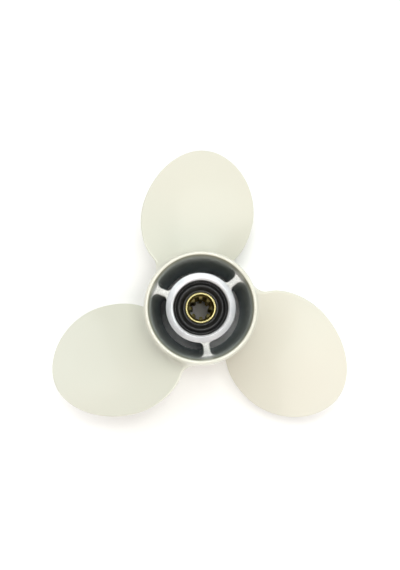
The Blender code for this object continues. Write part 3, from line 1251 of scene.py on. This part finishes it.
    def drafted(self, point: Flat) -> Flat:
        """Follow a point of the passage's outline down to the webs' front faces.

        Args:
            point: Its place across the shaft at the aft faces.

        Returns:
            Its place at the front faces, where the passage is narrower.
        """
        hub, inner, radius = self.hub, self.hub.tube_wall, math.hypot(*point)
        squeeze = (hub.passage_front - inner) / (hub.passage - inner)
        share = (inner + (radius - inner) * squeeze) / radius
        return point[0] * share, point[1] * share

    def passage_edge(self, turn: float, aft: bool) -> list[list[Point]]:
        """The rounded edge of one passage at the webs' aft or front faces.

        Args:
            turn: The angle of the passage's middle, in degrees.
            aft: Whether it is the aft edge, and not the front one.

        Returns:
            Rows of points, from the face into the passage.
        """
        hub = self.hub
        cos, sin = math.cos(math.radians(turn)), math.sin(math.radians(turn))
        pieces = self.steps.aft_edge if aft else self.steps.front_edge
        rows = [[] for _ in range(pieces + 1)]
        for x, y, out_x, out_y in self.passage():
            x, y = (x, y) if aft else self.drafted((x, y))
            rounding = self.edge_rounding((x, y), aft)
            for i, row in enumerate(rows):
                quarter = math.pi / 2 * i / pieces
                spread, drop = 1 - math.sin(quarter), rounding * (1 - math.cos(quarter))
                eased = (x + out_x * rounding * spread, y + out_y * rounding * spread)
                point = turned(*eased, cos, sin)
                high = hub.web_aft + self.web_lift(point) - drop
                row.append((*point, high if aft else hub.webs_front + drop))
        return rows

    def add_webs(self) -> None:
        """Add the webs' aft and front faces and the passages between them."""
        hub, steps, angles = self.hub, self.steps, self.angles
        aft_edges, front_edges = [], []
        for i in range(self.blade.count):
            middle = hub.web_one + (i + 0.5) * self.blade.apart
            aft, front = self.passage_edge(middle, True), self.passage_edge(middle, False)[::-1]
            columns = [straight(a, b, steps.passage) for a, b in zip(aft[-1], front[0])]
            self.mesh.loft(aft, CastingFinish.CAST)
            self.mesh.loft([*zip(*columns), *front[1:]], CastingFinish.BORE)
            aft_edges.append(aft[0])
            front_edges.append(front[-1])
        inner = np.array([polar(hub.tube / MM, a) for a in angles])
        for is_aft, edges in ((True, aft_edges), (False, front_edges)):
            wall = hub.wall if is_aft else hub.front_wall
            outer = np.array([polar(wall / MM, a) for a in angles])
            ends = (hub.tube + self.web_ring_in, wall - self.web_ring_out)
            loose = []
            for k, ring in enumerate(np.linspace(*ends, steps.web_rings) / MM):
                loose += [polar(ring, a + self.web_stagger * (k % 2)) for a in angles]
            holes = [np.array([(x / MM, y / MM) for x, y, _ in edge]) for edge in edges]
            flat, faces = fill_flat(outer, [*holes, inner], np.array(loose), self.web_gap)
            points = []
            for x, y in (flat * MM).tolist():
                level = hub.web_aft + self.web_lift((x, y)) if is_aft else hub.webs_front
                points.append((x, y, level))
            self.mesh.patch(points, faces, CastingFinish.CAST if is_aft else CastingFinish.BORE)

    def add_bore(self) -> None:
        """Add the barrel's inner wall from the rim down to the webs."""
        hub, steps, angles = self.hub, self.steps, self.angles
        self.mesh.lathe(hub.rim_arc(90, 180, steps.rim), angles, CastingFinish.PAINT)
        top = (hub.rim_bore, hub.length - hub.rim_rounding)
        profiles = []
        for angle in angles:
            foot = (hub.wall, hub.web_aft + self.web_lift(polar(hub.wall, angle)))
            profiles.append(straight(top, foot, steps.bore))
        self.mesh.turn(profiles, angles, CastingFinish.BORE)

    def add_tube(self) -> None:
        """Add the inner tube's wall above the webs, its end, its bore and its front."""
        hub, aft = self.hub, self.hub.tube_aft
        end = [
            (hub.tube, hub.web_aft),
            (hub.tube, aft - hub.tube_face_drop),
            (hub.tube_face, aft),
            (hub.tube_bore, aft - hub.tube_chamfer_depth),
            (hub.tube_bore, aft - 3 * hub.tube_chamfer_depth),
        ]
        lip = hub.tube_front + hub.front_lip_thickness
        run = [
            end[-1],
            (hub.tube_bore, lip),
            (hub.front_lip, lip),
            (hub.front_lip, hub.tube_front),
            (hub.tube, hub.tube_front),
            (hub.tube, hub.webs_front),
        ]
        self.mesh.lathe(soften(end, hub.tube_roundings), self.angles, CastingFinish.TURNED)
        self.mesh.lathe(soften(run, hub.lip_roundings), self.angles, CastingFinish.CAST)

    def add_outside(self) -> None:
        """Add the rim, its taper, the barrel's front end and its front bore."""
        hub, steps = self.hub, self.steps
        rim = hub.rim_arc(90, hub.rim_edge, steps.rim)
        down = straight(rim[-1][1:], (self.patch_high,), steps.taper)[1:]
        taper = rim + [(hub.outside(z), z) for (z,) in down]
        heights = np.linspace(self.patch_low, hub.front_rounding, steps.barrel_front + 1)
        corner = (hub.barrel_front - hub.front_rounding, hub.front_rounding)
        low = [(hub.outside(z), z) for z in heights.tolist()]
        low += arc(corner, hub.front_rounding, 0, -90, steps.front_corner)[1:]
        front = [low[-1], (hub.front_bore, 0.0), (hub.front_wall, hub.webs_front)]
        front = soften(front, (hub.front_bore_rounding,))
        front[-1:] = straight(front[-2], front[-1], steps.front_bore)[1:]
        self.mesh.lathe(taper, self.angles, CastingFinish.PAINT)
        self.mesh.lathe(low, self.angles, CastingFinish.PAINT)
        self.mesh.lathe(front, self.angles, CastingFinish.BORE)

    def build(self, effects: Effects) -> bpy.types.Object:
        """Build and dress the casting.

        Args:
            effects: The shared effects.

        Returns:
            The piece.
        """
        for i in range(self.blade.count):
            self.add_blade(i * self.blade.apart)
        self.add_barrel_patch()
        self.add_outside()
        self.add_bore()
        self.add_webs()
        self.add_tube()
        finishes = (CreamPaint(), BorePaint(), CastAluminium(), TurnedAluminium())
        dressing = [finish.material(effects) for finish in finishes]
        return self.mesh.piece("cast_propeller", dressing, self.crisp)


@dataclass
class Bush:
    """The rubber ring between the casting's tube and the sleeve.

    Its section runs up the inner wall, over the aft end with its raised bead and
    its groove, and down the outer wall: radius, height and rounding of each corner.
    """

    section: tuple[Point, ...] = (
        (0.0106, 0.0115, 0.0),
        (0.0106, 0.0698, 0.0003),
        (0.0118, 0.0697, 0.0008),
        (0.0147, 0.0724, 0.0012),
        (0.0161, 0.0710, 0.0004),
        (0.0167, 0.0693, 0.0006),
        (0.0181, 0.0706, 0.0003),
        (0.0181, 0.0105, 0.0004),
        (0.0106, 0.0105, 0.0),
    )
    round_shaft: int = 160
    rounding_steps: int = 6
    crisp: float = 50.0

    def build(self, effects: Effects) -> bpy.types.Object:
        """Build and dress the bush.

        Args:
            effects: The shared effects.

        Returns:
            The piece.
        """
        corners = [(radius, height) for radius, height, _ in self.section]
        radii = [rounding for _, _, rounding in self.section[1:-1]]
        profile = soften(corners, radii, self.rounding_steps)
        mesh = ClosedMesh()
        mesh.lathe([*profile, profile[0]], full_turn(self.round_shaft), 0)
        return mesh.piece("rubber_cushion", [BlackRubber().material(effects)], self.crisp)


@dataclass
class Sleeve:
    """The brass sleeve with its counterbore and eight inner teeth, in metres and degrees."""

    outer: float = 0.0103
    front: float = 0.0040
    aft: float = 0.0727
    chamfer: float = 0.0004
    counterbore: float = 0.0089
    counterbore_depth: float = 0.0077
    cone: float = 35.0
    cone_step: float = 0.0001
    teeth: int = 8
    groove_floor: float = 0.0078
    tooth_top: float = 0.0059
    tooth_root_width: float = 0.0026
    tooth_top_width: float = 0.0017
    groove_columns: int = 12
    top_columns: int = 6
    flank_columns: int = 4
    cone_rows: int = 4
    tooth_rows: int = 12
    crisp: float = 28.0

    def columns(self) -> list[Flat]:
        """Go round the toothed hole.

        Returns:
            Angle in degrees and radius of each column, all the way round.
        """
        pitch, low, high = 360.0 / self.teeth, self.tooth_top, self.groove_floor
        root = math.degrees(math.asin(self.tooth_root_width / 2 / high))
        top = math.degrees(math.asin(self.tooth_top_width / 2 / low))
        made = []
        for i in range(self.teeth):
            middle = i * pitch
            left, right = (middle - top, low), (middle + top, low)
            floor, end = (middle + root, high), (middle + pitch - root, high)
            made += straight(left, right, self.top_columns)
            made += straight(right, floor, self.flank_columns)[1:-1]
            made += straight(floor, end, self.groove_columns)
            made += straight(end, (middle + pitch - top, low), self.flank_columns)[1:-1]
        return made

    def inner_profile(self, radius: float) -> list[Flat]:
        """Run down the hole, from the counterbore over its cone to the front end.

        Args:
            radius: Where this column's tooth or groove lies.

        Returns:
            Radius and height of each point.
        """
        slant = math.tan(math.radians(self.cone))
        seat, low = self.aft - self.counterbore_depth, self.front + self.chamfer
        inward = self.counterbore - radius
        cone = (radius + self.cone_step, seat - (inward - self.cone_step) * slant)
        high = seat - inward * slant - self.cone_step
        down = straight((self.counterbore, seat), cone, self.cone_rows)
        down += straight((radius, high), (radius, low), self.tooth_rows)
        return [*down, (self.groove_floor + self.chamfer, self.front)]

    def build(self, effects: Effects) -> bpy.types.Object:
        """Build and dress the sleeve.

        Args:
            effects: The shared effects.

        Returns:
            The piece.
        """
        columns, edge = self.columns(), self.chamfer
        angles = [angle for angle, _ in columns]
        outside = [
            (self.groove_floor + edge, self.front),
            (self.outer - edge, self.front),
            (self.outer, self.front + edge),
            (self.outer, self.aft - edge),
            (self.outer - edge, self.aft),
            (self.counterbore + edge / 2, self.aft),
            (self.counterbore, self.aft - edge),
            (self.counterbore, self.aft - self.counterbore_depth),
        ]
        mesh = ClosedMesh()
        mesh.lathe(outside, angles, 0)
        mesh.turn([self.inner_profile(radius) for _, radius in columns], angles, 0)
        return mesh.piece("brass_sleeve", [Brass().material(effects)], self.crisp)


@dataclass(frozen=True)
class Lamp:
    """One soft square light that faces a point on the object.

    The camera doesn't see it, because one hangs between the camera and the hub.
    """

    name: str
    place: Point
    power: float
    colour: Colour
    side: float = 0.9
    aim: Point = (0.0, 0.0, 0.04)

    def build(self) -> None:
        """Put the light in the scene."""
        light = bpy.data.lights.new(self.name, "AREA")
        light.shape = "SQUARE"
        light.size = self.side
        light.energy = self.power
        light.color = self.colour
        item = bpy.data.objects.new(self.name, light)
        item.visible_camera = False
        item.location = self.place
        facing = (Vector(self.aim) - Vector(self.place)).to_track_quat("-Z", "Y")
        item.rotation_euler = facing.to_euler()
        bpy.context.scene.collection.objects.link(item)


@dataclass
class Studio:
    """A plain pale floor, soft lights and the camera."""

    floor_half: float = 4.0
    floor_tone: Colour = (0.96, 0.96, 0.955)
    floor_roughness: float = 0.9
    floor_shine: float = 0.1
    sky_tone: Colour = (1.0, 1.0, 1.0)
    sky_strength: float = 0.40
    camera_place: Point = (-0.00256, -0.01355, 0.45563)
    camera_turn: Point = (4.295, -0.304, 0.0)
    lens: float = 36.28
    sensor: float = 36.0
    clip: Flat = (0.01, 20.0)
    lamps: tuple[Lamp, ...] = (
        Lamp("key_top", (0.06, 0.56, 1.42), 11.4, (0.98, 1.0, 0.99)),
        Lamp("over_hub", (0.012, 0.0, 0.30), 0.085, (1.0, 1.0, 0.94), 0.03),
        Lamp("upper_left", (-0.682, 0.682, 1.189), 4.0, (0.97, 0.99, 1.0)),
        Lamp("low_right", (0.961, -0.961, 0.674), 4.6, (1.0, 0.93, 0.92)),
        Lamp("far_right", (1.310, 0.350, 0.674), 4.8, (0.93, 1.0, 0.97)),
        Lamp("low_left", (-0.961, -0.961, 0.674), 1.8, (1.0, 0.84, 0.76)),
        Lamp("warm_fill", (0.0, -0.964, 1.189), 6.2, (1.0, 0.91, 0.85)),
    )

    def build(self) -> None:
        """Build the floor, the lights and the camera, and show colours as they are."""
        self.floor()
        self.sky()
        for lamp in self.lamps:
            lamp.build()
        self.camera()
        bpy.context.scene.view_settings.view_transform = "Standard"

    def floor(self) -> None:
        """Lay the floor."""
        half = self.floor_half
        mesh = bpy.data.meshes.new("studio_floor")
        corners = [(-half, -half, 0.0), (half, -half, 0.0), (half, half, 0.0), (-half, half, 0.0)]
        mesh.from_pydata(corners, [], [(0, 1, 2, 3)])
        item = bpy.data.objects.new("studio_floor", mesh)
        bpy.context.scene.collection.objects.link(item)
        plain = {"Base Color": self.floor_tone, "Roughness": self.floor_roughness}
        plain["Specular IOR Level"] = self.floor_shine
        mesh.materials.append(principled("pale_floor", plain)[0])

    def sky(self) -> None:
        """Light everything softly from all sides."""
        world = bpy.data.worlds.new("soft_room")
        world.use_nodes = True
        graph = Graph(world.node_tree)
        shade = world.node_tree.nodes["Background"]
        graph.feed(shade.inputs["Color"], self.sky_tone)
        seen = graph.node("ShaderNodeLightPath").outputs["Is Camera Ray"]
        strength = graph.math("MULTIPLY_ADD", seen, 1.0 - self.sky_strength, self.sky_strength)
        graph.feed(shade.inputs["Strength"], strength)
        bpy.context.scene.world = world

    def camera(self) -> None:
        """Set the camera where the photograph was taken from."""
        data = bpy.data.cameras.new("photo_view")
        data.lens = self.lens
        data.sensor_width = self.sensor
        data.clip_start, data.clip_end = self.clip
        item = bpy.data.objects.new("photo_view", data)
        item.location = self.camera_place
        item.rotation_euler = tuple(math.radians(angle) for angle in self.camera_turn)
        bpy.context.scene.collection.objects.link(item)
        bpy.context.scene.camera = item


def settle(piece: bpy.types.Object, node: str) -> None:
    """Fix a piece to the frame in its node's place.

    Args:
        piece: The piece.
        node: The node that it stands for.
    """
    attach(piece, "root")
    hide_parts(node)
    LOG.info("%s stands for %s", piece.name, node)


def main() -> None:
    """Build the three pieces and the studio."""
    logging.basicConfig(level=logging.INFO, format="%(name)s: %(message)s")
    effects = Effects()
    settle(Casting().build(effects), "propeller_casting")
    settle(Bush().build(effects), "rubber_bush")
    settle(Sleeve().build(effects), "splined_sleeve")
    Studio().build()


if __name__ == "__main__":
    main()
